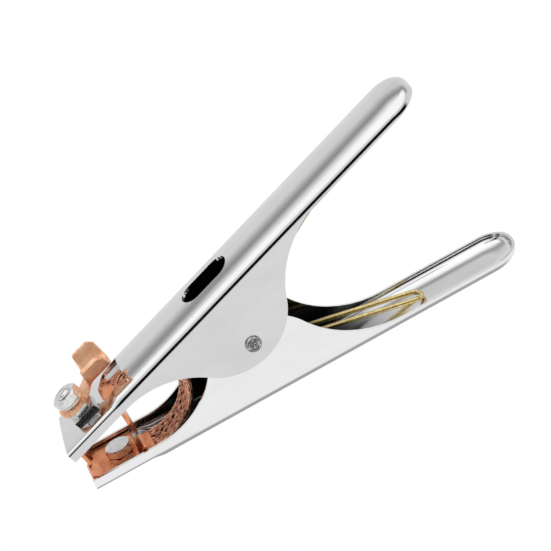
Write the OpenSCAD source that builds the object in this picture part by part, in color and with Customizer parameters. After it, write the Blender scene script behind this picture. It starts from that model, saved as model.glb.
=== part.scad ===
// Spring ground clamp for a welding cable.
// Origin: centre of the pivot. +X towards the handles, +Z the way the upper jaw opens, Y along the pivot.

/* [Arms] */
// Length from the pivot to the handle ends
handle_len = 142.5; // [125:1:150]
// Length from the pivot to the jaw tips
nose_len = 100; // [98:1:104]
// Outer width of the upper arm, which straddles the lower arm
upper_w = 37.4; // [36:0.2:40]
// Thickness of the pressed steel sheet
sheet = 1.5; // [1.2:0.1:1.8]
// Height of an arm's back above the pivot
back_z = 34.5; // [33.5:0.5:36]
// Height of the flat nose above the pivot
nose_z = 31.4; // [31:0.1:31.6]
// How much farther back the far corner of a nose is than its near corner
nose_slant = 4.5; // [0:0.5:5]
// How much farther out the far side of a handle's end is than its near side
handle_slant = 3; // [0:0.5:4]
// Height above the pivot of the open edge of a handle
edge_z = 28; // [27.2:0.1:28.4]
// Radius of the round cheek at the pivot
lobe_r = 32; // [31:0.5:33]

/* [Motion] */
// Angle between the two arms with the jaws closed, in degrees
rest_angle = 19.7; // [19.5:0.1:20]

/* [Pivot and spring] */
// Radius of the rivet's shank
shank_r = 3; // [2.5:0.1:3.4]
// Radius of the rivet's heads
head_r = 4.2; // [4.1:0.1:5]
// Diameter of the spring wire
wire_d = 2.6; // [2.2:0.1:3]
// Mean radius of the spring coils
coil_r = 11; // [9.5:0.5:12]
// Turns in each of the two coils
turns = 3; // [2:1:3]

/* [Jaws] */
// Thickness of the copper jaws
jaw_t = 1.8; // [1.4:0.1:2]
// Width of the copper jaws
jaw_w = 29; // [26:0.5:30]
// Distance from the pivot to the jaw bolts
bolt_x = 81.5; // [80.5:0.5:82.5]

/* [Cable lug] */
// Thickness of the cable lug's copper
lug_t = 2.2; // [1.6:0.1:2.4]
// Inner radius of the crimp barrel, for the bare end of the cable
barrel_r = 6; // [5:0.5:6.5]
// Length of the straight part of each crimp wing
wing_len = 9; // [7:0.5:10]

/* [Hidden] */
$fn = 48;

eps = 0.01;
far = 400;                              // longer than any part, for cutting tools
side_gap = 0.2;                         // between the cheeks of the two arms
lower_w = upper_w - 2 * (sheet + side_gap);
upper_in = upper_w / 2 - sheet;         // inner half width of the upper arm
lower_in = lower_w / 2 - sheet;         // inner half width of the lower arm
rivet_fit = 0.05;                       // radial clearance round the rivet's shank
crown = 1.3;                              // rise of the back from its corners to its middle
end_r = 15.5;                           // plan radius of a handle's closed end
corner_r = 5;                           // outer radius of the back's corners
rest_half = 5;                          // half width of the flat strip along the back
step_x = [-62, -70];                    // where the back steps down to the nose
lobe_c = [0.5, edge_z - 6.5];           // centre of the round cheek
handle_fillet = 54;                     // concave edge between the cheek and the handle
upper_fillet = 45;                      // the same towards the upper jaw
lower_fillet = 42;                      // the same towards the lower jaw
nose_edge = edge_z - 3;               // open edge of a nose

// M8 fasteners
bolt_r = 4;
hole_r = 4.2;
nut_af = 13;
head_h = 4.2;
nut_h = 4.4;
washer_t = 1.6;
plate_t = 2;
plate_w = 13.4;
gap = 0.05;                             // between stacked parts
thread_fit = 0.05;                      // radial clearance in a nut
thread_end = 1.2;                       // thread that stands out of a nut
head_turn = 12;                         // how the hexagons happen to stand
nut_turn = 8;

tab_t = 0.8;                              // flattened ends of the braid
braid_w = 17;
braid_t = 4.6;

function arc(c, r, from, to, n = 24) =
    [for (i = [0 : n]) let (a = from + (to - from) * i / n) c + r * [cos(a), sin(a)]];

// Centre of the fillet that blends the cheek circle into the open edge z = edge, on the given side
function fillet_c(r, edge, side) =
    let (dz = edge - r - lobe_c[1]) [lobe_c[0] + side * sqrt(pow(lobe_r + r, 2) - dz * dz), edge - r];

// Side view of an arm, back upwards: back, nose, and the open edge with its round cheek
function arm_outline(jaw_fillet) =
    let (cj = fillet_c(jaw_fillet, nose_edge, -1), ch = fillet_c(handle_fillet, edge_z, 1),
         aj = atan2(lobe_c[1] - cj[1], lobe_c[0] - cj[0]), ah = atan2(lobe_c[1] - ch[1], lobe_c[0] - ch[0]))
    concat(
        [[far, back_z], [step_x[0], back_z], [step_x[1], nose_z], [-nose_len, nose_z],
         [-nose_len, nose_edge]],
        arc(cj, jaw_fillet, 90, aj),
        arc(lobe_c, lobe_r, 180 + aj, 180 + ah, 40),
        arc(ch, handle_fillet, ah, 90),
        [[far, edge_z]]);

// Hollow of an arm in side view, one sheet thickness inside its back
function hollow_outline() = [
    [far, -far], [far, back_z - sheet], [step_x[0] + 0.5, back_z - sheet],
    [step_x[1] + 0.5, nose_z - sheet], [-far, nose_z - sheet], [-far, -far]];

// Cross-section through the back, inset by d: flat strip, crowned shoulders and round corners
function section_outline(half_w, d) =
    let (w = half_w - d, top = back_z - d, r = corner_r - d)
    concat(
        [[-w, -far], [-w, top - crown - r]],
        arc([-w + r, top - crown - r], r, 180, 100, 12),
        [[-rest_half, top], [rest_half, top]],
        arc([w - r, top - crown - r], r, 80, 0, 12),
        [[w, top - crown - r], [w, -far]]);

// Plan view of an arm, inset by d, with its rounded handle end and slanted nose
function plan_outline(half_w, d, nose_x) =
    let (w = half_w - d, x = handle_len - d, r = end_r - d, lean = handle_slant / 2)
    concat(
        arc([x + lean - r, w - r], r, 90, 0, 16), arc([x - lean - r, -w + r], r, 0, -90, 16),
        [[nose_x, -w], [nose_x + nose_slant, w]]);

module along_x(len) rotate([90, 0, 90]) linear_extrude(len, center = true) children();
module along_y(len) rotate([90, 0, 0]) linear_extrude(len, center = true) children();

// Pressed channel with its back upwards and open below
module channel(half_w, jaw_fillet) {
    difference() {
        intersection() {
            along_y(2 * half_w) polygon(arm_outline(jaw_fillet));
            along_x(2 * far) polygon(section_outline(half_w, 0));
            linear_extrude(far, center = true) polygon(plan_outline(half_w, 0, -nose_len));
        }
        intersection() {
            along_y(2 * (half_w - sheet)) polygon(hollow_outline());
            along_x(2 * far) polygon(section_outline(half_w, sheet));
            linear_extrude(far, center = true) polygon(plan_outline(half_w, sheet, -far));
        }
        rotate([90, 0, 0]) cylinder(r = shank_r + rivet_fit, h = 2 * half_w + 2, center = true);
        translate([-bolt_x, 0, nose_z - 4]) cylinder(r = hole_r, h = 8);
    }
}

// Puts children drawn in the upper arm's own frame into place, with the jaws closed
module in_upper() rotate([0, -rest_angle, 0]) children();

// Puts children drawn with their back upwards into the lower arm's place
module in_lower() mirror([0, 0, 1]) children();

// ---- arms ----

// Window where the cable end passes from the channel to the lug
window_x = [-70.5, -54];
window_y = [10.5, 14];
slot_x = [-9, 20.5];
slot_w = 15;

module window() {
    linear_extrude(far) polygon(concat(
        [[window_x[1], -window_y[1]], [window_x[1], window_y[1]]],
        arc([window_x[0] + 6, window_y[0] - 6], 6, 80, 180, 10),
        arc([window_x[0] + 6, -window_y[0] + 6], 6, 180, 280, 10)));
}

module slot() {
    linear_extrude(far) {
        for (x = slot_x) translate([x + (x < 0 ? 1 : -1) * slot_w / 2, 0]) circle(d = slot_w);
        translate([slot_x[0] + slot_w / 2, -slot_w / 2]) square([slot_x[1] - slot_x[0] - slot_w, slot_w]);
    }
}

module upper_arm() {
    color("gainsboro") in_upper() difference() {
        channel(upper_w / 2, upper_fillet);
        translate([0, 0, nose_z - 8]) window();
        translate([0, 0, back_z - 8]) slot();
    }
}

module lower_arm() {
    color("gainsboro") in_lower() channel(lower_w / 2, lower_fillet);
}

// ---- pivot ----

rivet_out = upper_w / 2 + 0.1;          // inner face of the rivet's heads
head_t = 2;
washer_out = 1;                         // the washer under the far head
rivet_far = -rivet_out - washer_out - 0.1;
dimple_r = 2;
dimple_h = 1.2;

module pivot_rivet() {
    color("silver") rotate([90, 0, 0]) difference() {
        union() {
            translate([0, 0, rivet_far]) cylinder(r = shank_r, h = rivet_out - rivet_far + eps);
            translate([0, 0, rivet_out]) cylinder(r = head_r, h = head_t);
            translate([0, 0, rivet_far - head_t]) cylinder(r = head_r, h = head_t + eps);
        }
        translate([0, 0, rivet_out + head_t - dimple_h]) cylinder(r = dimple_r, h = head_t);
    }
}

module rivet_washer() {
    color("silver") rotate([-90, 0, 0]) translate([0, 0, rivet_out]) difference() {
        cylinder(r = 6.5, h = washer_out);
        translate([0, 0, -1]) cylinder(r = shank_r + rivet_fit, h = 4);
    }
}

module pivot_sleeve() {
    color("darkgray") rotate([90, 0, 0]) difference() {
        cylinder(r = 5, h = 2 * lower_in - 0.1, center = true);
        cylinder(r = shank_r + rivet_fit, h = 2 * lower_in + 2, center = true);
    }
}

// ---- spring ----

bridge_y = 4.5;                         // half distance between the wires of the bridge
coil_pitch = wire_d + 0.3;
leg_y = bridge_y + coil_pitch * turns;  // the outer legs
leg_x = 84;
leg_end = [leg_x, back_z - sheet - wire_d / 2 - 1.3];           // the bridge, near the lower handle's floor
up_leg_end = [leg_x, back_z - sheet - crown - wire_d / 2 - 0.3];    // the outer legs, in the upper handle
leg_cut = 0.3;                          // from the end of a coil to the start of its outer leg

// Angle, seen from -Y, at which a wire to point p leaves the coil tangentially on the side given
function tangent_a(p, side) = atan2(p[1], p[0]) + side * acos(coil_r / norm(p));

// One wire along a path of [point, normal] pairs
module swept_wire(path) {
    n = 10;
    m = len(path);
    pts = [for (i = [0 : m - 1]) let (
        along = unit(path[min(i + 1, m - 1)][0] - path[max(i - 1, 0)][0]),
        normal = path[i][1], side = cross(along, normal))
        for (j = [0 : n - 1]) let (a = 360 * j / n)
            path[i][0] + wire_d / 2 * (cos(a) * normal + sin(a) * side)];
    polyhedron(pts, concat(
        [for (i = [0 : m - 2], j = [0 : n - 1]) let (k = (j + 1) % n)
            [i * n + j, (i + 1) * n + j, (i + 1) * n + k, i * n + k]],
        [[for (j = [0 : n - 1]) j], [for (j = [n - 1 : -1 : 0]) (m - 1) * n + j]]), convexity = 8);
}

low_p = [leg_end[0], -leg_end[1]];
low_a = tangent_a(low_p, -1);
up_a = tangent_a(up_leg_end, 1) + rest_angle;
coil_end_a = up_a - 360 * turns;

// From the outer leg's end of a coil, round its turns, to where the wire leaves for the bridge
function coil_path(s) = [for (k = [0 : 1 / (24 * turns) : 1 + eps / 100])
    let (a = coil_end_a + (low_a - coil_end_a) * k, y = leg_y + (bridge_y - leg_y) * k)
    [[coil_r * cos(a), s * y, coil_r * sin(a)], [cos(a), 0, sin(a)]]];

// Half ring at the end of the hairpin, in the plane of its two wires
function bridge_path() = let (t = [-sin(low_a), 0, cos(low_a)]) [for (b = [-90 : 15 : 90])
    [[low_p[0], 0, low_p[1]] + bridge_y * (sin(b) * [0, 1, 0] + cos(b) * t), [cos(low_a), 0, sin(low_a)]]];

function reversed(v) = [for (i = [len(v) - 1 : -1 : 0]) v[i]];

// The two coils with the wires that run to the bridge in the lower handle, as one piece of wire
module torsion_spring() {
    color("darkkhaki") swept_wire(concat(coil_path(-1), bridge_path(), reversed(coil_path(1))));
}

// The two outer legs, which press on the inside of the upper handle
module spring_upper_legs() {
    a = tangent_a(up_leg_end, 1);
    start = coil_r * [cos(a), 0, sin(a)] + leg_cut * [sin(a), 0, -cos(a)];
    color("darkkhaki") in_upper() for (y = [-leg_y, leg_y])
        wire(start + [0, y, 0], [up_leg_end[0], y, up_leg_end[1]]);
}

// Straight wire between two points
module wire(p, q) {
    d = q - p;
    translate(p) rotate([0, acos(d[2] / norm(d)), atan2(d[1], d[0])])
        cylinder(d = wire_d, h = norm(d), $fn = 24);
}

// ---- bent copper strips ----

function unit(v) = v / norm(v);
function left(v) = [-v[1], v[0]];

// Points of an open path moved sideways by d, mitred at its bends
function shifted(path, d) = [for (i = [0 : len(path) - 1])
    let (a = unit(path[max(i, 1)] - path[max(i, 1) - 1]),
         b = unit(path[min(i, len(path) - 2) + 1] - path[min(i, len(path) - 2)]),
         m = unit(left(a) + left(b)))
    path[i] + m * d / (m * left(a))];

// Strip of thickness t that follows a path in the XZ plane
module strip(path, t, width) {
    along_y(width) polygon(concat(shifted(path, t / 2), reversed(shifted(path, -t / 2))));
}

// ---- lower jaw, drawn with the lower arm's nose upwards ----

seat_z = nose_z - sheet;                // inner face of a nose
lower_tab_z = seat_z - gap - tab_t;
lower_base_z = lower_tab_z - gap - jaw_t;
lower_path = [[-99.2, lower_base_z - 2.6], [-94.2, lower_base_z + jaw_t / 2],
    [-73.2, lower_base_z + jaw_t / 2], [-69.6, lower_base_z - 3.6]];
tooth_gap = 0.4;                        // between the interleaved teeth, each side of the middle
tooth_cut = [1, 3.4];                   // how far the far half of the front and rear lip is cut back

module bolt_hole() translate([-bolt_x, 0, 0]) cylinder(r = hole_r, h = far, center = true);

module lower_jaw() {
    color("peru") in_lower() difference() {
        strip(lower_path, jaw_t, jaw_w);
        bolt_hole();
        translate([lower_path[0][0] - 5, -tooth_gap, 0]) cube([tooth_cut[0] + 5, jaw_w, far]);
        translate([lower_path[3][0] - tooth_cut[1], -tooth_gap, 0]) cube([tooth_cut[1] + 5, jaw_w, far]);
    }
}

// Hexagon prism on the Z axis
module hex(af, h) cylinder(d = af / cos(30), h = h, $fn = 6);

// Bolt that points up, with the seat of its head at z_head
module bolt(z_head, z_end) {
    translate([-bolt_x, 0, 0]) {
        translate([0, 0, z_head - head_h]) rotate([0, 0, head_turn]) hex(nut_af, head_h);
        translate([0, 0, z_head]) cylinder(r = bolt_r, h = z_end - z_head);
    }
}

module nut(z, h) {
    translate([-bolt_x, 0, z]) difference() {
        rotate([0, 0, nut_turn]) hex(nut_af, h);
        translate([0, 0, -1]) cylinder(r = bolt_r + thread_fit, h = h + 2);
    }
}

module washer(z, r, t) {
    translate([-bolt_x, 0, z]) difference() {
        cylinder(r = r, h = t);
        translate([0, 0, -1]) cylinder(r = hole_r, h = t + 2);
    }
}

module lower_jaw_bolt() {
    color("silver") in_lower() bolt(lower_base_z - gap, nose_z + nut_h + thread_end);
}
module lower_jaw_nut() {
    color("silver") in_lower() nut(nose_z + gap, nut_h);
}

// Flat copper end of the braid, drilled for the jaw bolt; the end at tail_x is where the braid starts
module braid_tab(z, tail_x) {
    difference() {
        translate([-bolt_x, 0, z]) linear_extrude(tab_t) {
            circle(r = 8);
            translate([0, -braid_w / 2]) square([tail_x + bolt_x, braid_w]);
        }
        bolt_hole();
    }
}

tab_end = -62;
upper_tab_end = -60;
tab_mid_z = lower_tab_z + tab_t / 2;
module lower_braid_tab() {
    color("chocolate") in_lower() braid_tab(lower_tab_z, tab_end);
}

// ---- braid ----

// Flexible copper strap along a path in the XZ plane, flat in section
module strap(path, w, t) {
    n = 12;
    m = len(path);
    dirs = [for (i = [0 : m - 1]) unit(path[min(i + 1, m - 1)] - path[max(i - 1, 0)])];
    pts = [for (i = [0 : m - 1], j = [0 : n - 1]) let (a = 360 * j / n,
        s = path[i] + left(dirs[i]) * t / 2 * sign(sin(a)) * pow(abs(sin(a)), 0.6))
        [s[0], w / 2 * sign(cos(a)) * pow(abs(cos(a)), 0.6), s[1]]];
    faces = concat(
        [for (i = [0 : m - 2], j = [0 : n - 1]) let (k = (j + 1) % n)
            [i * n + j, i * n + k, (i + 1) * n + k, (i + 1) * n + j]],
        [[for (j = [n - 1 : -1 : 0]) j], [for (j = [0 : n - 1]) (m - 1) * n + j]]);
    polyhedron(pts, faces, convexity = 4);
}

// Cubic curve from p to q with handles u and v
function bezier(p, u, v, q, n = 18) =
    [for (i = [0 : n]) let (k = i / n, c = 1 - k)
        c * c * c * p + 3 * c * c * k * u + 3 * c * k * k * v + k * k * k * q];

// Turns a point of the upper arm's frame into the clamp's own frame, as in_upper() does
function from_upper(p) = [p[0] * cos(rest_angle) - p[1] * sin(rest_angle),
    p[0] * sin(rest_angle) + p[1] * cos(rest_angle)];

loop_mid = [-37, -9];                   // where the two halves of the braid meet
loop_up = [1, 6];                       // its direction there
tab_gap = 0.3;
half_gap = 0.5;                         // along loop_up, between the two halves
braid_lower_path = bezier([tab_end + tab_gap, -tab_mid_z], [-50, -tab_mid_z],
    loop_mid - 2 * loop_up, loop_mid);
braid_upper_path = bezier(loop_mid + half_gap * unit(loop_up), loop_mid + 1.5 * loop_up,
    from_upper([upper_tab_end + 16, tab_mid_z]), from_upper([upper_tab_end + tab_gap, tab_mid_z]));

module braid_lower() {
    color("chocolate") strap(braid_lower_path, braid_w, braid_t);
}
module braid_upper() {
    color("chocolate") strap(braid_upper_path, braid_w, braid_t);
}

// ---- upper jaw and cable connection, drawn in the upper arm's frame ----

upper_tab_z = seat_z - gap - tab_t;
upper_base_z = upper_tab_z - gap - jaw_t;
upper_path = [[-98.2, 9.5], [-95.4, upper_base_z + jaw_t / 2], [-66.5, upper_base_z + jaw_t / 2],
    [-73.2, 3.4]];
tooth_top = 16;                         // above this the upper jaw's flanges have their full width
plate_z = nose_z + gap;
lock_z = plate_z + plate_t + gap;
lug_z = lock_z + nut_h + gap;
cable_washer_z = lug_z + lug_t + gap;
cable_nut_z = cable_washer_z + washer_t + gap;

module upper_jaw() {
    color("peru") in_upper() difference() {
        strip(upper_path, jaw_t, jaw_w);
        bolt_hole();
        translate([-120, -far, tooth_top - far]) cube([80, far + tooth_gap, far]);
    }
}

module upper_jaw_bolt() {
    color("silver") in_upper() bolt(upper_base_z - gap, cable_nut_z + nut_h + thread_end);
}
module square_plate() {
    color("silver") in_upper() difference() {
        translate([-bolt_x - plate_w / 2, -plate_w / 2, plate_z]) cube([plate_w, plate_w, plate_t]);
        bolt_hole();
    }
}
module jaw_lock_nut() {
    color("silver") in_upper() nut(lock_z, nut_h);
}
module cable_flat_washer() {
    color("silver") in_upper() washer(cable_washer_z, 6.6, washer_t);
}
module cable_nut() {
    color("silver") in_upper() nut(cable_nut_z, nut_h);
}

module upper_braid_tab() {
    color("chocolate") in_upper() braid_tab(upper_tab_z, upper_tab_end);
}

// Open-barrel lug: ring tongue on the bolt, sloping neck, and a barrel with two spread wings
ring_r = 8.6;
barrel_x = [-66, -54];
barrel_floor = lug_z + 2.2;             // underside of the barrel
neck_w = 11;

module cable_lug() {
    color("sandybrown") in_upper() difference() {
        union() {
            translate([-bolt_x, 0, lug_z]) cylinder(r = ring_r, h = lug_t);
            strip([[-bolt_x, lug_z + lug_t / 2], [-bolt_x + 7.5, lug_z + lug_t / 2],
                [barrel_x[0] - 3, barrel_floor + lug_t / 2], [barrel_x[0] + 1, barrel_floor + lug_t / 2]],
                lug_t, neck_w);
            barrel_body();
        }
        bolt_hole();
        translate([-bolt_x, 0, lug_z + lug_t]) cylinder(r = 7, h = far);
        translate([barrel_x[0] - 0.5, 0, barrel_mid[1]]) rotate([0, 90, 0]) cylinder(r = barrel_r, h = far);
    }
}

wing_a = 58;                            // how far round the barrel its wings start
barrel_mid = [0, barrel_floor + lug_t + barrel_r];

// Section of the barrel through the middle of its sheet: a wing, the round bottom, the other wing
function barrel_section() = let (r = barrel_r + lug_t / 2) concat(
    [barrel_mid + r * [-sin(wing_a), -cos(wing_a)] + wing_len * [-cos(wing_a), sin(wing_a)]],
    arc(barrel_mid, r, -90 - wing_a, -90 + wing_a),
    [barrel_mid + r * [sin(wing_a), -cos(wing_a)] + wing_len * [cos(wing_a), sin(wing_a)]]);

module barrel_body() {
    translate([(barrel_x[0] + barrel_x[1]) / 2, 0, 0]) along_x(barrel_x[1] - barrel_x[0])
        polygon(concat(shifted(barrel_section(), lug_t / 2), reversed(shifted(barrel_section(), -lug_t / 2))));
}

lower_arm();
upper_arm();
pivot_rivet();
pivot_sleeve();
rivet_washer();
torsion_spring();
spring_upper_legs();
lower_jaw();
lower_jaw_bolt();
lower_jaw_nut();
lower_braid_tab();
braid_lower();
upper_jaw();
upper_jaw_bolt();
square_plate();
jaw_lock_nut();
cable_lug();
cable_flat_washer();
cable_nut();
upper_braid_tab();
braid_upper();
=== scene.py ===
import math

import bmesh
import bpy
import numpy as np
from mathutils import Matrix, Vector


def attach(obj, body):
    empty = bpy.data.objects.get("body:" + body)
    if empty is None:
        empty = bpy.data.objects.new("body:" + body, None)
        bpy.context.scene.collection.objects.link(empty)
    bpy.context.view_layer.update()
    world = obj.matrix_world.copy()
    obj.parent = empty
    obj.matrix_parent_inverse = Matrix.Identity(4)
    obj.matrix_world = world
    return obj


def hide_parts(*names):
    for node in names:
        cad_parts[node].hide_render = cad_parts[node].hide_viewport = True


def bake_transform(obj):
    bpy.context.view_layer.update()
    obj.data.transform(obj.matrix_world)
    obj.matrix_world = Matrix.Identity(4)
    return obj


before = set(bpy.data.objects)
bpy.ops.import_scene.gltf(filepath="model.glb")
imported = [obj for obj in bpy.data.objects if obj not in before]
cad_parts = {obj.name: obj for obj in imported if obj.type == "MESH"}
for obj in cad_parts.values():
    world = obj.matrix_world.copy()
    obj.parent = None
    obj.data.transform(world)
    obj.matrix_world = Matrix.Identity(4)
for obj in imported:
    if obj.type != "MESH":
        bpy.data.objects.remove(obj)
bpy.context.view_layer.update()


# ---------- dimensions, in millimetres ----------

MM = 0.001
ALPHA = math.radians(19.7)                       # between the arms with the jaws closed
UP = Matrix.Rotation(-ALPHA, 4, "Y")             # the upper arm's own frame
DOWN = Matrix.Scale(-1, 4, Vector((0, 0, 1)))    # lower pieces are drawn back upwards, then mirrored
HERE = Matrix.Identity(4)
ALONG_Y = Matrix.Rotation(math.radians(90), 4, "X")   # +Z of a lathe's profile points at -Y

# Arms
HANDLE, NOSE, SHEET = 142.5, 100.0, 1.5           # reach from the pivot each way, sheet thickness
UP_W, LOW_W = 18.7, 17.0                          # outer half widths
BACK_Z, NOSE_Z = 34.5, 31.4                       # height of the back and of the flat nose
EDGE_Z, NOSE_EDGE = 28.0, 25.0                    # height of the open edge at the handle and the nose
STEP_X = (-62, -70)                               # where the back steps down to the nose
CORNER_R = (5.0, 2.2)                             # outer corner radius, at the back and at the nose
CORNER_TURN = (73.5, 86)                          # degrees the corner turns before the crown begins
END_R = 15.5                                      # plan radius of a handle's end
NOSE_LEAN, NOSE_LEAN_X, NOSE_LEAN_RUN = 4.5, -78, 22   # far side of the nose lies farther along +X
HANDLE_LEAN, HANDLE_LEAN_RUN = 1.5, 25            # the same at the handle, each way from the middle
LOBE_X, LOBE_Z, LOBE_R = 0.5, 21.5, 32.0          # round cheek
HANDLE_FILLET, UP_FILLET, LOW_FILLET = 54.0, 45, 42
EDGE_ROUND = 0.35

# Openings in the upper arm's back
SLOT_X, SLOT_R = (-9, 20.5), 7.5
WINDOW_X, WINDOW_W = -54, 14
WINDOW_CORNER_X, WINDOW_CORNER_Y, WINDOW_CORNER_R = -64.5, 4.5, 6
TALL, WIDE = 60, 20                               # past every piece, for cutting tools
CUT = 8                                           # how far a tool reaches below the sheet's outside

# Pivot
PIVOT_R, PIVOT_HOLE = 3.0, 3.05
OUT, HEAD_T, HEAD_R = 18.8, 2.0, 4.2              # outside of a cheek, rivet head
FAR_WASHER_R, FAR_WASHER_T = 6.5, 1.0
SLEEVE_R, SLEEVE_Y = 5, 15.4

# Spring
WIRE_R, COIL_R, TURNS, COIL_PITCH, BRIDGE_Y = 1.3, 11.0, 3, 2.9, 4.5
LEG_X, LEG_GAP = 84.0, 1.3

# M8 fasteners and what they hold
BOLT_X, BOLT_R, HOLE_R, AF = -81.5, 4.0, 4.2, 13.0
HEAD_H, NUT_H, THREAD_END = 4.2, 4.4, 1.2
HEAD_TURN, NUT_TURN = math.radians(12), math.radians(8)
GAP = 0.05                                        # between stacked pieces
WASH_R, WASH_T, PLATE_T, PLATE_W = 6.6, 1.6, 2.0, 13.4
JAW_T, JAW_W, TAB_T, TAB_R, LUG_T = 1.8, 29.0, 0.8, 8.5, 2.2
TOOTH_CUT, TOOTH_Y, UP_TOOTH_Z = (1, 3.4), 0.4, 16   # staggered ends of the two jaws
TAB_Z = NOSE_Z - SHEET - GAP - TAB_T
TAB_MID = TAB_Z + TAB_T / 2
BASE_Z = TAB_Z - GAP - JAW_T
BASE_MID = BASE_Z + JAW_T / 2
PLATE_Z = NOSE_Z + GAP
LOCK_Z = PLATE_Z + PLATE_T + GAP
LUG_Z = LOCK_Z + NUT_H + GAP
WASHER_Z = LUG_Z + LUG_T + GAP
CABLE_NUT_Z = WASHER_Z + WASH_T + GAP

# Cable lug
LUG_X, RING_R = (-77, -54), 8.6
NECK_W, WING_LEN, WING_TRIM = 5.5, 9, 2.6         # half width of the neck, straight part of a wing
BARREL_R, BARREL_RISE = 7.1, 2.2                  # mean radius of the bend, floor above the ring
WING_TURN = math.radians(58)

# Braid
BRAID_T, BRAID_W, TAB_END_T = 4.2, 16.2, 0.9
STRANDS, WIRES, STEPS, FILAMENT_R, TWIST = 36, 3, 64, 0.30, 0.55


# ---------- small tools ----------

def lerp(a, b, t):
    return a + (b - a) * t


def ease(a, b, x):
    t = min(max((x - a) / (b - a), 0.0), 1.0)
    return t * t * (3 - 2 * t)


def solid(name, verts, faces, place=HERE, merge=1e-4):
    """Mesh object in millimetres, placed, with its normals outwards."""
    bm = bmesh.new()
    vs = [bm.verts.new(place @ Vector(v)) for v in verts]
    for f in faces:
        keep = [i for n, i in enumerate(f) if i not in f[:n]]
        if len(keep) > 2:
            try:
                bm.faces.new([vs[i] for i in keep])
            except ValueError:
                pass
    bmesh.ops.remove_doubles(bm, verts=bm.verts, dist=merge)
    bmesh.ops.recalc_face_normals(bm, faces=bm.faces)
    if bm.calc_volume(signed=True) < 0:
        bmesh.ops.reverse_faces(bm, faces=bm.faces)
    me = bpy.data.meshes.new(name)
    bm.to_mesh(me)
    bm.free()
    me.shade_smooth()
    ob = bpy.data.objects.new(name, me)
    bpy.context.scene.collection.objects.link(ob)
    return ob


def applied(ob):
    """The object with its modifiers turned into mesh."""
    me = bpy.data.meshes.new_from_object(ob.evaluated_get(bpy.context.evaluated_depsgraph_get()))
    ob.modifiers.clear()
    old, ob.data = ob.data, me
    bpy.data.meshes.remove(old)
    return ob


def boolean(ob, others, how="DIFFERENCE"):
    for other in others:
        m = ob.modifiers.new("b", "BOOLEAN")
        m.operation, m.solver, m.object = how, "MANIFOLD", other
        applied(ob).data.shade_smooth()
        bpy.data.objects.remove(other)
    return ob


def flats_kept(ob, sharp_angle=50):
    """Smooth shading that leaves large faces flat and edges over the given angle sharp."""
    applied(ob).data.shade_smooth()
    ob.data.set_sharp_from_angle(angle=math.radians(sharp_angle))
    ob.modifiers.new("weights", "WEIGHTED_NORMAL").keep_sharp = True
    return applied(ob)


def rounded(ob, width, segments=2, angle=40):
    """Bevel on every edge over the given angle."""
    m = ob.modifiers.new("bevel", "BEVEL")
    m.width, m.segments, m.limit_method = width, segments, "ANGLE"
    m.angle_limit = math.radians(angle)
    m.miter_outer = "MITER_ARC"
    return flats_kept(ob, 180)


def done(ob, body, slot, mat, *nodes):
    """Piece in metres with its material, on its body, in place of the named nodes.
    Without mat it keeps its own materials; without body it is not attached to any body."""
    ob.data.transform(Matrix.Scale(MM, 4))
    if mat:
        ob.data.materials.clear()
        ob.data.materials.append(mat)
    if body:
        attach(ob, body)
    if nodes:
        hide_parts(*nodes)
    return ob


def prism(name, pts, lo, hi, place=HERE, axis="Z"):
    """Outline pts extruded from lo to hi along Z, or along Y with pts in XZ."""
    n = len(pts)
    if axis == "Z":
        verts = [(x, y, lo) for x, y in pts] + [(x, y, hi) for x, y in pts]
    else:
        verts = [(x, lo, z) for x, z in pts] + [(x, hi, z) for x, z in pts]
    faces = [list(range(n)), list(range(2 * n - 1, n - 1, -1))]
    faces += [(i, (i + 1) % n, n + (i + 1) % n, n + i) for i in range(n)]
    return solid(name, verts, faces, place)


def block(x0, x1, y0, y1, z0, z1, place):
    return prism("block", [(x0, y0), (x1, y0), (x1, y1), (x0, y1)], z0, z1, place)


def circle(cx, cy, r, a0=0.0, a1=360.0, n=48):
    """Points of a circle or arc, from a0 to a1 degrees."""
    last = n if abs(a1 - a0) < 360 else n - 1
    return [(cx + r * math.cos(math.radians(lerp(a0, a1, i / n))),
             cy + r * math.sin(math.radians(lerp(a0, a1, i / n)))) for i in range(last + 1)]


def drill(x, r, z0, z1, place):
    return prism("drill", circle(x, 0, r), z0, z1, place)


def rings(name, loops, place=HERE, wrap=True, caps=False):
    """Skin over loops of equal length. wrap joins the last loop to the first, caps closes both ends."""
    n, m = len(loops[0]), len(loops)
    verts = [p for loop in loops for p in loop]
    faces = []
    for i in range(m if wrap else m - 1):
        k = (i + 1) % m
        faces += [(i * n + j, i * n + (j + 1) % n, k * n + (j + 1) % n, k * n + j) for j in range(n)]
    if caps:
        faces += [tuple(range(n)), tuple((m - 1) * n + j for j in range(n))]
    return solid(name, verts, faces, place)


def lathe(name, profile, place=HERE, n=64):
    """Closed profile of (r, z) turned about Z."""
    return rings(name, [[(*p, z) for p in circle(0, 0, r, n=n)] for r, z in profile], place)


def tube(points, r, n):
    """Verts and faces of a round wire along points, with n sides."""
    p = np.array(points, float)
    t = np.gradient(p, axis=0)
    t /= np.linalg.norm(t, axis=1)[:, None]
    side = np.cross(t[0], (0.3, 0.5, 0.8))
    out = []
    a = np.arange(n) * 2 * math.pi / n
    for i in range(len(p)):
        side = side - t[i] * (side @ t[i])
        side /= np.linalg.norm(side)
        other = np.cross(t[i], side)
        out.append(p[i] + r * (np.outer(np.cos(a), side) + np.outer(np.sin(a), other)))
    m = len(p)
    faces = [(i * n + j, i * n + (j + 1) % n, (i + 1) * n + (j + 1) % n, (i + 1) * n + j)
             for i in range(m - 1) for j in range(n)]
    faces += [tuple(range(n)), tuple((m - 1) * n + j for j in range(n))]
    return [tuple(v) for v in np.concatenate(out)], faces


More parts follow.
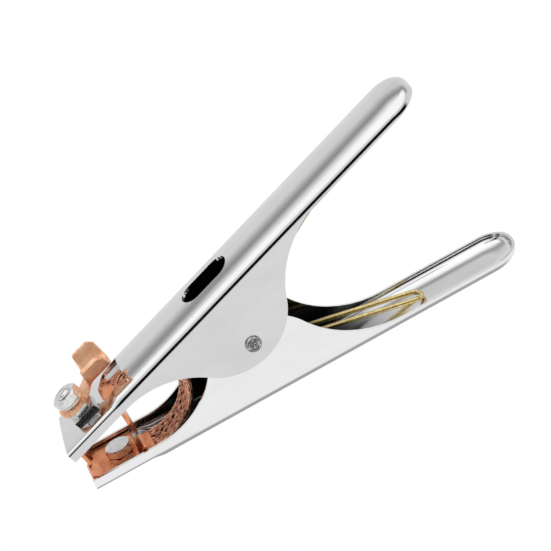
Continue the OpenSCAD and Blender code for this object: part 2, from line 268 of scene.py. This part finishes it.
def joined(parts):
    """Verts and faces of several parts as one."""
    verts, faces = [], []
    for v, f in parts:
        k = len(verts)
        verts += v
        faces += [tuple(i + k for i in q) for q in f]
    return verts, faces


# ---------- materials ----------

def node(nt, kind, **values):
    """Shader node, with properties or input sockets set by name."""
    n = nt.nodes.new(kind)
    for key, value in values.items():
        if hasattr(n, key):
            setattr(n, key, value)
        else:
            n.inputs[key.replace("_", " ")].default_value = value
    return n


def mix_colours(nt, a, b, factor=1.0, blend="MIX"):
    """Colour sockets of a Mix node are its seventh and eighth; its colour result is its third."""
    n = node(nt, "ShaderNodeMix", data_type="RGBA", blend_type=blend)
    for socket, source in ((n.inputs[0], factor), (n.inputs[6], a), (n.inputs[7], b)):
        if isinstance(source, bpy.types.NodeSocket):
            nt.links.new(source, socket)
        else:
            socket.default_value = source
    return n.outputs[2]


def ranged(nt, source, lo, hi, to_lo=0.0, to_hi=1.0):
    """Source stretched from lo..hi to to_lo..to_hi."""
    n = node(nt, "ShaderNodeMapRange", From_Min=lo, From_Max=hi, To_Min=to_lo, To_Max=to_hi)
    nt.links.new(source, n.inputs["Value"])
    return n.outputs["Result"]


def metal(name, light, dark, rough, spread, scale, bump, streak=(1, 1, 1), shade_tint=None, reach=None):
    """Metal whose tint and roughness drift with noise, under fine scratches drawn out by streak.
    The optional tint is painted shade, darker round the pivot; reach is where it is gone and where it is
    full, along X."""
    mat = bpy.data.materials.new(name)
    mat.use_nodes = True
    nt = mat.node_tree
    bsdf = nt.nodes["Principled BSDF"]
    bsdf.inputs["Metallic"].default_value = 1.0
    coords = node(nt, "ShaderNodeTexCoord")
    mapped = node(nt, "ShaderNodeMapping")
    mapped.inputs["Scale"].default_value = [s / MM for s in streak]
    nt.links.new(coords.outputs["Object"], mapped.inputs["Vector"])
    cloud = node(nt, "ShaderNodeTexNoise", Scale=scale, Detail=4.0, Roughness=0.6)
    fine = node(nt, "ShaderNodeTexNoise", Scale=2.2, Detail=6.0, Roughness=0.7)
    nt.links.new(mapped.outputs["Vector"], cloud.inputs["Vector"])
    nt.links.new(mapped.outputs["Vector"], fine.inputs["Vector"])
    ramp = node(nt, "ShaderNodeValToRGB")
    for stop, position, tint in zip(ramp.color_ramp.elements, (0.35, 0.65), (dark, light)):
        stop.position, stop.color = position, (*tint, 1)
    nt.links.new(cloud.outputs["Fac"], ramp.inputs["Fac"])
    colour = ramp.outputs["Color"]
    # Painted shade: the tint darkens the surface towards the pivot, where shade falls between the arms.
    if shade_tint:
        place = node(nt, "ShaderNodeSeparateXYZ")
        nt.links.new(coords.outputs["Object"], place.inputs["Vector"])
        distance = node(nt, "ShaderNodeMath", operation="ABSOLUTE")
        nt.links.new(place.outputs["X"], distance.inputs[0])
        colour = mix_colours(nt, colour, (*shade_tint, 1), ranged(nt, distance.outputs[0], *reach))
    nt.links.new(colour, bsdf.inputs["Base Color"])
    nt.links.new(ranged(nt, fine.outputs["Fac"], 0.3, 0.7, max(rough - spread, 0.02), rough + spread),
                 bsdf.inputs["Roughness"])
    scratches = node(nt, "ShaderNodeBump", Strength=bump, Distance=0.2 * MM)
    nt.links.new(fine.outputs["Fac"], scratches.inputs["Height"])
    nt.links.new(scratches.outputs["Normal"], bsdf.inputs["Normal"])
    return mat


DRAWN, ROLLED = (0.4, 1, 1), (1, 0.5, 1)          # streaks along the arms, across the copper strips
CHROME = metal("chrome_sheet", (0.78, 0.78, 0.79), (0.73, 0.73, 0.74), 0.10, 0.04, 0.06, 0.03, DRAWN)
# Painted light: the lower arm gets a brighter copy of the same chrome, its base tint raised to show the
# light it catches.
LIT_CHROME = metal("chrome_lower_painted_bright", (0.97, 0.97, 0.98), (0.92, 0.92, 0.93), 0.10, 0.04, 0.06, 0.03, DRAWN)
# Inner faces of the arms: painted shade darkens them round the pivot, where little light reaches between
# the cheeks.
SHADED_INNER_CHROME = metal("inner_chrome_painted_shade", (0.84, 0.84, 0.85), (0.76, 0.76, 0.77), 0.14, 0.05, 0.06, 0.03, DRAWN,
               shade_tint=(0.13, 0.13, 0.13), reach=(0.075, 0.045))
ZINC = metal("bright_zinc", (0.86, 0.86, 0.85), (0.66, 0.66, 0.67), 0.16, 0.06, 0.35, 0.06)
RIVET = metal("rivet_steel", (0.62, 0.62, 0.63), (0.16, 0.16, 0.17), 0.12, 0.06, 0.7, 0.25)
# Painted shade: the coil round the pivot, enclosed between the arms, is darkened almost to black.
WIRE = metal("yellow_zinc_wire", (0.92, 0.76, 0.38), (0.66, 0.48, 0.18), 0.24, 0.08, 0.5, 0.08,
             shade_tint=(0.03, 0.025, 0.02), reach=(0.05, 0.022))
LUG_COPPER = metal("lug_copper", (1.0, 0.64, 0.42), (0.90, 0.48, 0.28), 0.50, 0.08, 0.25, 0.08, ROLLED)
COPPER = metal("stamped_copper", (0.90, 0.36, 0.17), (0.68, 0.22, 0.09), 0.24, 0.08, 0.25, 0.10, ROLLED)
BRAID = metal("copper_wires", (1.0, 0.62, 0.44), (0.66, 0.27, 0.16), 0.26, 0.08, 0.8, 0.05)
# Painted shade for the inside of the braid, dark between the wires.
SHADE = metal("braid_gap_shade", (0.10, 0.03, 0.015), (0.04, 0.012, 0.008), 0.5, 0.08, 0.8, 0.05)


# ---------- arms ----------

def edge_line(fillet):
    """Open edge of an arm as z(x): nose, fillet, round cheek, fillet, handle."""
    def centre(r, edge, side):
        dz = edge - r - LOBE_Z
        return LOBE_X + side * math.sqrt((LOBE_R + r) ** 2 - dz * dz), edge - r
    jx, jz = centre(fillet, NOSE_EDGE, -1)
    hx, hz = centre(HANDLE_FILLET, EDGE_Z, 1)
    meet_j = LOBE_X + LOBE_R * (jx - LOBE_X) / (LOBE_R + fillet)
    meet_h = LOBE_X + LOBE_R * (hx - LOBE_X) / (LOBE_R + HANDLE_FILLET)

    def z(x):
        if x <= jx:
            return NOSE_EDGE
        if x < meet_j:
            return jz + math.sqrt(fillet ** 2 - (x - jx) ** 2)
        if x <= meet_h:
            return LOBE_Z - math.sqrt(LOBE_R ** 2 - (x - LOBE_X) ** 2)
        if x < hx:
            return hz + math.sqrt(HANDLE_FILLET ** 2 - (x - hx) ** 2)
        return EDGE_Z
    return z


def back_profile(x, w, inset, z_edge, flat):
    """(distance in from the side, z) from the open edge over the corner and crown to the centre line.
    flat is the half width of the level strip along the middle."""
    nose = ease(*STEP_X, x - inset / 3)
    r = lerp(*CORNER_R, nose) - inset
    turn = math.radians(lerp(*CORNER_TURN, nose))
    top = lerp(BACK_Z, NOSE_Z, nose) - inset
    corner_w, corner_h = r * (1 - math.cos(turn)), r * math.sin(turn)
    run = w - flat - corner_w
    slope = 1 / math.tan(turn)
    side_top = top - corner_h - slope * run / 2
    pts = [(0.0, lerp(z_edge, side_top, k / 8)) for k in range(8)]
    pts += [(r * (1 - math.cos(turn * k / 8)), side_top + r * math.sin(turn * k / 8)) for k in range(8)]
    for u in (k / 8 for k in range(9)):
        pts.append((corner_w + run * u, side_top + corner_h + slope * run * (u - u * u / 2)))
    pts.append((w, top))
    return pts


def arm_path(half_w, inset):
    """Plan of an arm from nose to nose round the handle's end: (x, y) on the side, and the x on the
    centre line that the cross-section there runs to."""
    w, r, stop = half_w - inset, END_R - inset, HANDLE - half_w
    spans = ((-NOSE, -72, 12), (-71.4, -54, 28), (-53, 45, 76), (50, stop, 14))
    xs = [x for span in spans for x in np.linspace(*span)]
    end = [(HANDLE - END_R + r * math.cos(a), w - r + r * math.sin(a))
           for a in np.radians(np.linspace(0, 90, 18))]
    return ([(x, -w, x) for x in xs] + [(x, -y, stop) for x, y in end[::-1]]
            + [(x, y, stop) for x, y in end] + [(x, w, x) for x in reversed(xs)])


def lean(x, y, half_w):
    """How far a point of an arm is moved along +X, at its nose and at its handle's end."""
    nose = NOSE_LEAN * (y + half_w) / (2 * half_w) * min(max((NOSE_LEAN_X - x) / NOSE_LEAN_RUN, 0), 1)
    end = HANDLE - END_R
    return nose + HANDLE_LEAN * y / half_w * ease(end - HANDLE_LEAN_RUN, end, x)


def arm_skin(half_w, inset, z_edge, flat):
    w = half_w - inset
    skin = []
    for px, py, centre_x in arm_path(half_w, inset):
        row = []
        for d, z in back_profile(min(px, centre_x), w, inset, z_edge(min(px, HANDLE)), flat):
            x, y = lerp(px, centre_x, d / w), lerp(py, 0.0, d / w)
            row.append((x + lean(x, y, half_w), y, z))
        skin.append(row)
    return skin


def channel(name, half_w, fillet, place, flat, skin_mat):
    """Pressed sheet arm: an outer and an inner skin, joined along the open edge and across the nose."""
    skins = [arm_skin(half_w, inset, edge_line(fillet), flat) for inset in (0.0, SHEET)]
    m, k = len(skins[0]), len(skins[0][0])
    size = m * k
    faces = []
    for b in (0, size):
        faces += [(b + i * k + j, b + i * k + j + 1, b + (i + 1) * k + j + 1, b + (i + 1) * k + j)
                  for i in range(m - 1) for j in range(k - 1)]
    faces += [(i * k, (i + 1) * k, size + (i + 1) * k, size + i * k) for i in range(m - 1)]
    for i in (0, m - 1):
        faces += [(i * k + j, i * k + j + 1, size + i * k + j + 1, size + i * k + j) for j in range(k - 1)]
    arm = solid(name, [p for skin in skins for row in skin for p in row], faces, place)
    arm.data.materials.append(skin_mat)
    arm.data.materials.append(SHADED_INNER_CHROME)
    back = place.inverted()
    for p in arm.data.polygons:
        normal, centre = back.to_3x3() @ p.normal, back @ p.center
        ceiling = normal.z < -0.3 and abs(centre.y) < half_w - SHEET
        inwards = abs(normal.y) > 0.3 and normal.y * centre.y < 0
        p.material_index = 1 if ceiling or inwards else 0
    return rounded(arm, EDGE_ROUND)


def arm_holes(place):
    """Tools for the rivet's hole and the jaw bolt's hole."""
    return [prism("drill", circle(0, 0, PIVOT_HOLE), -2 * UP_W, 2 * UP_W, place, "Y"),
            drill(BOLT_X, HOLE_R, NOSE_Z - CUT / 2, NOSE_Z + CUT / 2, place)]


slot = circle(SLOT_X[0] + SLOT_R, 0, SLOT_R, 90, 270, 24)
slot += circle(SLOT_X[1] - SLOT_R, 0, SLOT_R, -90, 90, 24)
window = [(WINDOW_X, -WINDOW_W), (WINDOW_X, WINDOW_W)]
window += circle(WINDOW_CORNER_X, WINDOW_CORNER_Y, WINDOW_CORNER_R, 80, 180, 10)
window += circle(WINDOW_CORNER_X, -WINDOW_CORNER_Y, WINDOW_CORNER_R, 180, 280, 10)

arm = channel("upper_arm_sheet", UP_W, UP_FILLET, UP, 0.5, CHROME)
boolean(arm, [prism("slot", slot, BACK_Z - CUT, TALL, UP), prism("window", window, NOSE_Z - CUT, TALL, UP),
              *arm_holes(UP)])
done(flats_kept(arm), "upper_body", "chromed_steel", None, "upper_arm")

arm = channel("lower_arm_sheet", LOW_W, LOW_FILLET, DOWN, 5.0, LIT_CHROME)
boolean(arm, arm_holes(DOWN))
done(flats_kept(arm), "lower_body", "chromed_steel", None, "lower_arm")


# ---------- pivot ----------

FAR = -(OUT + FAR_WASHER_T + 0.1)                 # outside of the far washer

rivet = [(0.02, OUT + 0.3), (0.9, OUT + 0.5), (1.6, OUT + 1.1), (2.2, OUT + 1.8), (2.7, OUT + HEAD_T),
         (3.1, OUT + HEAD_T), (3.6, OUT + 1.7), (3.95, OUT + 1.2), (HEAD_R, OUT + 0.6),
         (HEAD_R, OUT + 0.2), (HEAD_R - 0.2, OUT), (PIVOT_R, OUT), (PIVOT_R, FAR), (HEAD_R - 0.2, FAR),
         (HEAD_R, FAR - 0.3), (HEAD_R, FAR - 1.2), (3.7, FAR - 1.8), (3.0, FAR - HEAD_T),
         (0.02, FAR - HEAD_T)]
washer = [(PIVOT_HOLE, -OUT), (FAR_WASHER_R, -OUT), (FAR_WASHER_R, -OUT - FAR_WASHER_T),
          (PIVOT_HOLE, -OUT - FAR_WASHER_T)]
sleeve = [(PIVOT_HOLE, -SLEEVE_Y), (SLEEVE_R, -SLEEVE_Y), (SLEEVE_R, SLEEVE_Y), (PIVOT_HOLE, SLEEVE_Y)]
done(lathe("rivet", rivet, ALONG_Y), "lower_body", "zinc_steel", RIVET, "pivot_rivet")
done(rounded(lathe("washer_far", washer, ALONG_Y), 0.2), "lower_body", "zinc_steel", ZINC, "rivet_washer")
done(rounded(lathe("sleeve", sleeve, ALONG_Y), 0.3), "lower_body", "zinc_steel", ZINC, "pivot_sleeve")


# ---------- spring ----------

LEG_Y = BRIDGE_Y + COIL_PITCH * TURNS
LOW_END = (LEG_X, -(BACK_Z - SHEET - WIRE_R - LEG_GAP))
UP_END = (LEG_X, BACK_Z - SHEET - WIRE_R - LEG_GAP - 0.3)


def tangent_angle(p, side):
    """Where a straight leg that ends at p leaves the coil."""
    return math.atan2(p[1], p[0]) + side * math.acos(COIL_R / math.hypot(*p))


def on_coil(a, y):
    return (COIL_R * math.cos(a), y, COIL_R * math.sin(a))


def straight(start, end, steps):
    """The first steps of a straight line cut in so many parts, without its start."""
    parts, last = steps
    return [tuple(lerp(np.array(start), np.array(end), k / parts)) for k in range(1, last + 1)]


low_a, up_a = tangent_angle(LOW_END, -1), tangent_angle(UP_END, 1)
coil_end = up_a + ALPHA - 2 * math.pi * TURNS


def coil_and_leg(s):
    """One coil from its outer end inwards, and its leg up to the bridge. s is -1 near, 1 far."""
    coil = [on_coil(lerp(coil_end, low_a, k / 200), s * lerp(LEG_Y, BRIDGE_Y, k / 200)) for k in range(201)]
    return coil + straight(coil[-1], (LOW_END[0], s * BRIDGE_Y, LOW_END[1]), (10, 9))


bridge = [(LOW_END[0] - BRIDGE_Y * math.cos(b) * math.sin(low_a), BRIDGE_Y * math.sin(b),
           LOW_END[1] + BRIDGE_Y * math.cos(b) * math.cos(low_a))
          for b in np.radians(np.linspace(-90, 90, 25))]
wire = coil_and_leg(-1) + bridge + coil_and_leg(1)[::-1]
done(solid("spring_wire", *tube(wire, WIRE_R, 16)), "lower_body", "spring_steel", WIRE, "torsion_spring")

# The outer legs run on inside the coil for 40 degrees, so that no gap opens there
legs = []
for s in (-1, 1):
    y = s * LEG_Y
    hidden = [on_coil(up_a + math.radians(d), lerp(y, y - s * 0.3, d / 40)) for d in range(40, -1, -4)]
    leg = straight(on_coil(up_a, y), (UP_END[0], y, UP_END[1]), (12, 12))
    legs.append(tube(hidden + leg, WIRE_R - 0.02, 16))
done(solid("spring_legs", *joined(legs), UP), "upper_body", "spring_steel", WIRE, "spring_upper_legs")


# ---------- hexagons, threads, washers ----------

def hex_solid(name, z0, h, bore, turn, place):
    """Hexagon with chamfered corners, and a bore unless bore is 0."""
    sides, face_r, drop = 96, AF / 2 * 0.96, 0.55      # face_r: flat circle inside the chamfer
    if bore:
        inner = [(bore + 0.5, z0), (bore, z0 + 0.4), (bore, z0 + h - 0.4), (bore + 0.5, z0 + h)]
    else:
        inner = [(0.01, z0), (0.01, z0 + h)]
    profile = [(face_r, z0, 0), *[(r, z, 0) for r, z in inner], (face_r, z0 + h, 0),
               (None, z0 + h, -1), (None, z0, 1)]
    loops = []
    for r, z, slope in profile:
        loop = []
        for j in range(sides):
            a = 2 * math.pi * j / sides
            b = a % (math.pi / 3) - math.pi / 6
            rim = min(AF / 2 / math.cos(b), AF / math.sqrt(3) - 0.1)
            reach = r if r is not None else rim
            loop.append((BOLT_X + reach * math.cos(a + turn), reach * math.sin(a + turn),
                         z + slope * (rim - face_r) * drop))
        loops.append(loop)
    return rings(name, loops, place)


def thread(name, z0, z1, place, pitch=1.25, depth=0.62):
    """Stud with a helical thread and a chamfered end."""
    n, steps, chamfer = 36, int((z1 - z0) / pitch * 8), 0.7
    loops = []
    for i in range(steps + 1):
        z = lerp(z0, z1, i / steps)
        loop = []
        for j in range(n):
            a = 2 * math.pi * j / n
            f = (z / pitch - j / n) % 1
            r = BOLT_R - depth * min(max(abs(2 * f - 1) * 1.3 - 0.15, 0), 1)
            r = min(r, BOLT_R - max(0, z - (z1 - chamfer)))
            loop.append((BOLT_X + r * math.cos(a), r * math.sin(a), z))
        loops.append(loop)
    return rings(name, loops, place, wrap=False, caps=True)


def bolt(name, z_end, place):
    """Jaw bolt: its head bears on the jaw, its thread ends at z_end."""
    z_head = BASE_Z - GAP
    head = rounded(hex_solid(name, z_head - HEAD_H, HEAD_H, 0, HEAD_TURN, place), 0.12, 2, 18)
    stud = thread(name + "_stud", z_head - 0.1, z_end, place)
    with bpy.context.temp_override(active_object=head, selected_editable_objects=[head, stud]):
        bpy.ops.object.join()
    return head


def nut(name, z, place):
    return rounded(hex_solid(name, z, NUT_H, BOLT_R - 0.35, NUT_TURN, place), 0.12, 2, 18)


def flat_washer(name, z, r, t, place):
    at = place @ Matrix.Translation((BOLT_X, 0, z))
    return rounded(lathe(name, [(HOLE_R, 0), (r, 0), (r, t), (HOLE_R, t)], at), 0.25)


# ---------- jaws and braid tabs ----------

def bent(path, radius=2.2, n=7):
    """Path with its inner corners rounded."""
    p = [np.array(q, float) for q in path]
    out = [p[0]]
    for a, b, c in zip(p, p[1:], p[2:]):
        before, after = np.linalg.norm(a - b), np.linalg.norm(c - b)
        u, v = (a - b) / before, (c - b) / after
        half = math.acos(max(-1, min(1, u @ v))) / 2
        reach = min(radius / math.tan(half), 0.45 * min(before, after))
        s, e = b + u * reach, b + v * reach
        for t in (k / n for k in range(n + 1)):
            out.append((1 - t) ** 2 * s + 2 * t * (1 - t) * b + t * t * e)
    out.append(p[-1])
    return out


def jaw_plate(name, path, place):
    """Copper strip bent along path, in side view, with the bolt's hole through it."""
    p = np.array(bent(path))
    d = np.gradient(p, axis=0)
    d /= np.linalg.norm(d, axis=1)[:, None]
    left = np.stack([-d[:, 1], d[:, 0]], axis=1) * JAW_T / 2
    outline = [tuple(q) for q in p + left] + [tuple(q) for q in (p - left)[::-1]]
    plate = prism(name, outline, -JAW_W / 2, JAW_W / 2, place, "Y")
    return boolean(plate, [drill(BOLT_X, HOLE_R, 0, TALL, place)])


def tab(name, tail, place):
    """Flattened end of the braid, round at the bolt."""
    pts = [(tail, -TAB_R), (tail, TAB_R)] + circle(BOLT_X, 0, TAB_R, 90, 270, 24)
    plate = prism(name, pts, TAB_Z, TAB_Z + TAB_T, place)
    return rounded(boolean(plate, [drill(BOLT_X, HOLE_R, 0, TALL, place)]), 0.2)


# The far half of each bent end of the lower jaw is cut back, and the near half of the upper jaw's
# ends is cut short, so that the two jaws' teeth pass each other
low_path = [(-99.2, BASE_Z - 2.6), (-94.2, BASE_MID), (-73.2, BASE_MID), (-69.6, BASE_Z - 3.6)]
jaw = jaw_plate("lower_jaw_plate", low_path, DOWN)
boolean(jaw, [block(-105, low_path[0][0] + TOOTH_CUT[0], -TOOTH_Y, WIDE, 0, TALL, DOWN),
              block(low_path[-1][0] - TOOTH_CUT[1], -60, -TOOTH_Y, WIDE, 0, TALL, DOWN)])
done(rounded(jaw, 0.3), "lower_body", "copper", COPPER, "lower_jaw")

up_path = [(-98.2, 9.5), (-95.4, BASE_MID), (-66.5, BASE_MID), (-73.2, 3.4)]
jaw = jaw_plate("upper_jaw_plate", up_path, UP)
boolean(jaw, [block(-120, -40, -WIDE, TOOTH_Y, -20, UP_TOOTH_Z, UP)])
done(rounded(jaw, 0.3), "upper_body", "copper", COPPER, "upper_jaw")

done(tab("lower_tab", -62, DOWN), "lower_body", "copper", COPPER, "lower_braid_tab")
done(tab("upper_tab", -60, UP), "upper_body", "copper", COPPER, "upper_braid_tab")


# ---------- fasteners in place ----------

done(bolt("jaw_bolt_lower", NOSE_Z + NUT_H + THREAD_END, DOWN), "lower_body", "zinc_steel", ZINC,
     "lower_jaw_bolt")
done(nut("nut_lower", NOSE_Z + GAP, DOWN), "lower_body", "zinc_steel", ZINC, "lower_jaw_nut")

done(bolt("jaw_bolt_upper", CABLE_NUT_Z + NUT_H + THREAD_END, UP), "upper_body", "zinc_steel", ZINC,
     "upper_jaw_bolt")
plate = block(BOLT_X - PLATE_W / 2, BOLT_X + PLATE_W / 2, -PLATE_W / 2, PLATE_W / 2,
              PLATE_Z, PLATE_Z + PLATE_T, UP)
boolean(plate, [drill(BOLT_X, HOLE_R, 0, TALL, UP)])
plate.name = "plate_square"
done(rounded(plate, EDGE_ROUND), "upper_body", "zinc_steel", ZINC, "square_plate")
done(nut("nut_lock", LOCK_Z, UP), "upper_body", "zinc_steel", ZINC, "jaw_lock_nut")
done(flat_washer("washer_cable", WASHER_Z, WASH_R, WASH_T, UP), "upper_body", "zinc_steel", ZINC,
     "cable_flat_washer")
done(nut("nut_cable", CABLE_NUT_Z, UP), "upper_body", "zinc_steel", ZINC, "cable_nut")


# ---------- cable lug ----------

def lug_section(x):
    """Outline of the lug's sheet at x: flat at the neck, then a trough whose sides run on as wings."""
    half = lerp(NECK_W, BARREL_R * WING_TURN + WING_LEN, ease(-70, -65.6, x))
    if x > -57:
        half -= WING_TRIM * ease(-57, LUG_X[1], x)
    floor = LUG_Z + LUG_T / 2 + BARREL_RISE * ease(-75, -68, x)
    bend = ease(-71, -66, x) / BARREL_R + 1e-5    # curvature, never quite nothing
    pts = []
    for side in (1, -1):
        row = []
        for s in (lerp(-half, half, k / 24) for k in range(25)):
            turn = max(-WING_TURN, min(WING_TURN, s * bend))
            extra = abs(s) - abs(turn) / bend
            y = math.sin(turn) / bend + math.copysign(extra, s) * math.cos(turn)
            z = (1 - math.cos(turn)) / bend + extra * abs(math.sin(turn))
            off = side * LUG_T / 2
            row.append((x, y - off * math.sin(turn), floor + z + off * math.cos(turn)))
        pts += row if side == 1 else row[::-1]
    return pts


lug = rings("lug", [lug_section(x) for x in np.linspace(*LUG_X, 47)], UP, wrap=False, caps=True)
boolean(lug, [prism("ring", circle(BOLT_X, 0, RING_R, n=72), LUG_Z, LUG_Z + LUG_T, UP)], "UNION")
boolean(lug, [drill(BOLT_X, HOLE_R, 0, 80, UP)])
done(rounded(lug, 0.3), "upper_body", "copper", LUG_COPPER, "cable_lug")


# ---------- braid ----------

def bezier(p, u, v, q, n=24):
    p, u, v, q = (np.array(c, float) for c in (p, u, v, q))
    return [c ** 3 * p + 3 * c * c * k * u + 3 * c * k * k * v + k ** 3 * q
            for k in (i / n for i in range(n + 1)) for c in (1 - k,)]


def from_upper(x, z):
    """(x, z) of the upper arm's frame in the lower arm's."""
    return (x * math.cos(ALPHA) - z * math.sin(ALPHA), x * math.sin(ALPHA) + z * math.cos(ALPHA))


# Centre line from tab to tab, past the pivot, in side view
loop_mid, loop_up = np.array((-37.0, -9.0)), np.array((1.0, 6.0))
centre = bezier((-62, -TAB_MID), (-50, -TAB_MID), loop_mid - 2 * loop_up, loop_mid)
centre += bezier(loop_mid, loop_mid + 1.5 * loop_up, from_upper(-44, TAB_MID), from_upper(-60, TAB_MID))[1:]
centre = np.array([(-65, -TAB_MID)] + centre + [from_upper(-63, TAB_MID)])
run = np.concatenate([[0], np.cumsum(np.linalg.norm(np.diff(centre, axis=0), axis=1))])
run /= run[-1]


def on_centre(t):
    return np.array([np.interp(t, run, centre[:, 0]), np.interp(t, run, centre[:, 1])])


def braid_point(t, a, swell, shrink=1.0):
    """Point at t along the braid and angle a round it, swell outwards of its flat oval section."""
    x, z = on_centre(t)
    dx, dz = on_centre(min(t + 0.01, 1)) - on_centre(max(t - 0.01, 0))
    k = math.hypot(dx, dz)
    thick = lerp(TAB_END_T, BRAID_T, min(ease(0.0, 0.16, t), 1 - ease(0.84, 1.0, t))) * shrink
    c, s = math.cos(a), math.sin(a)
    n = math.copysign(abs(s) ** 0.7, s) * (thick / 2) + swell * s
    y = math.copysign(abs(c) ** 0.75, c) * BRAID_W * shrink / 2
    return (x - dz / k * n, y, z + dx / k * n)


def filament(i, w):
    """Wire w of strand i. Even and odd strands wind opposite ways and pass over and under."""
    way = 1 if i % 2 else -1
    base = 2 * math.pi * (i // 2 * 2) / STRANDS + 0.06 * (w - 1)
    pts = []
    for t in (k / STEPS for k in range(STEPS + 1)):
        a = base + way * t * 2 * math.pi * TWIST
        swell = 0.35 * math.sin(way * (a * STRANDS / 4) + t * 40) + 0.05 * math.sin(17 * t + i + 3 * w)
        pts.append(braid_point(t, a, swell))
    return tube(pts, FILAMENT_R, 6)


filaments = joined([filament(i, w) for i in range(STRANDS) for w in range(WIRES)])
braid = done(solid("braid", *filaments, HERE, 1e-6), None, "copper_braid", BRAID,
             "braid_lower", "braid_upper")
# Painted shade: a dark body inside the braid, seen through the gaps between the wires.
shade_loops = [[braid_point(t, 2 * math.pi * j / 24, 0, 0.86) for j in range(24)]
              for t in np.linspace(0.02, 0.98, 50)]
shade_body = done(rings("braid_shade_body", shade_loops, HERE, wrap=False, caps=True), None, "copper_braid", SHADE)
for ob in (braid, shade_body):
    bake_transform(ob)


# ---------- light ----------

# White to the camera. Mirrors see a soft sky with a dark band high up, and a dark bar behind the camera.
world = bpy.data.worlds.new("studio")
bpy.context.scene.world = world
world.use_nodes = True
sky_tree = world.node_tree
sky_tree.nodes.clear()
direction = node(sky_tree, "ShaderNodeSeparateXYZ")
sky_tree.links.new(node(sky_tree, "ShaderNodeTexCoord").outputs["Generated"], direction.inputs["Vector"])


def ramp_of(axis, *stops):
    """Grey level against one component of the direction looked in, -1 to 1."""
    r = node(sky_tree, "ShaderNodeValToRGB")
    levels = r.color_ramp.elements
    while len(levels) < len(stops):
        levels.new(0.5)
    for level, (position, v) in zip(levels, stops):
        level.position, level.color = (position + 1) / 2, (v, v, v, 1)
    sky_tree.links.new(ranged(sky_tree, direction.outputs[axis], -1.0, 1.0), r.inputs["Fac"])
    return r.outputs["Color"]


def combined(a, b, blend):
    return mix_colours(sky_tree, a, b, 1.0, blend)


height = ramp_of("Z", (-1, 0.35), (-0.9, 0.4), (-0.75, 0.85), (-0.4, 0.87), (-0.1, 0.84), (0.44, 0.80),
                 (0.54, 0.62), (0.65, 0.34), (0.69, 0.34), (0.81, 1.22), (1, 1.22))
near = ramp_of("Y", (-1, 0.8), (0.2, 0.8), (0.45, 0.0), (1, 0.0))
upwards = ramp_of("Z", (-1, 0.0), (-0.1, 0.0), (0.05, 1.0), (1, 1.0))
not_front = ramp_of("Y", (-1, 0.0), (-0.55, 0.0), (-0.35, 1.0), (1, 1.0))
not_level = ramp_of("Z", (-1, 1.0), (-0.06, 1.0), (0.06, 0.0), (0.47, 0.0), (0.55, 1.0), (1, 1.0))
sky = combined(height, combined(near, upwards, "MULTIPLY"), "LIGHTEN")
reflected = combined(sky, combined(not_front, not_level, "LIGHTEN"), "MULTIPLY")

lit = node(sky_tree, "ShaderNodeBackground", Strength=1.0)
sky_tree.links.new(reflected, lit.inputs["Color"])
seen = node(sky_tree, "ShaderNodeBackground", Color=(1, 1, 1, 1))
choice = node(sky_tree, "ShaderNodeMixShader")
sky_tree.links.new(node(sky_tree, "ShaderNodeLightPath").outputs["Is Camera Ray"], choice.inputs["Fac"])
sky_tree.links.new(lit.outputs["Background"], choice.inputs[1])
sky_tree.links.new(seen.outputs["Background"], choice.inputs[2])
sky_tree.links.new(choice.outputs["Shader"], node(sky_tree, "ShaderNodeOutputWorld").inputs["Surface"])

bpy.context.scene.view_settings.view_transform = "Standard"


# ---------- camera ----------

CAMERA_AT = (-0.06274, -0.89509, 0.47752)
CAMERA_RIGHT = (0.87424, -0.28822, -0.3916)
CAMERA_UP = (0.47787, 0.36354, 0.79925)
CAMERA_BACK = (-0.08798, -0.8859, 0.45551)

cam_data = bpy.data.cameras.new("camera")
cam_data.sensor_width, cam_data.lens = 36.0, 134.66
cam_data.clip_start, cam_data.clip_end = 0.05, 20
camera = bpy.data.objects.new("camera", cam_data)
bpy.context.scene.collection.objects.link(camera)
turned = Matrix((CAMERA_RIGHT, CAMERA_UP, CAMERA_BACK)).transposed().to_4x4()
camera.matrix_world = Matrix.Translation(Vector(CAMERA_AT)) @ turned
bpy.context.scene.camera = camera
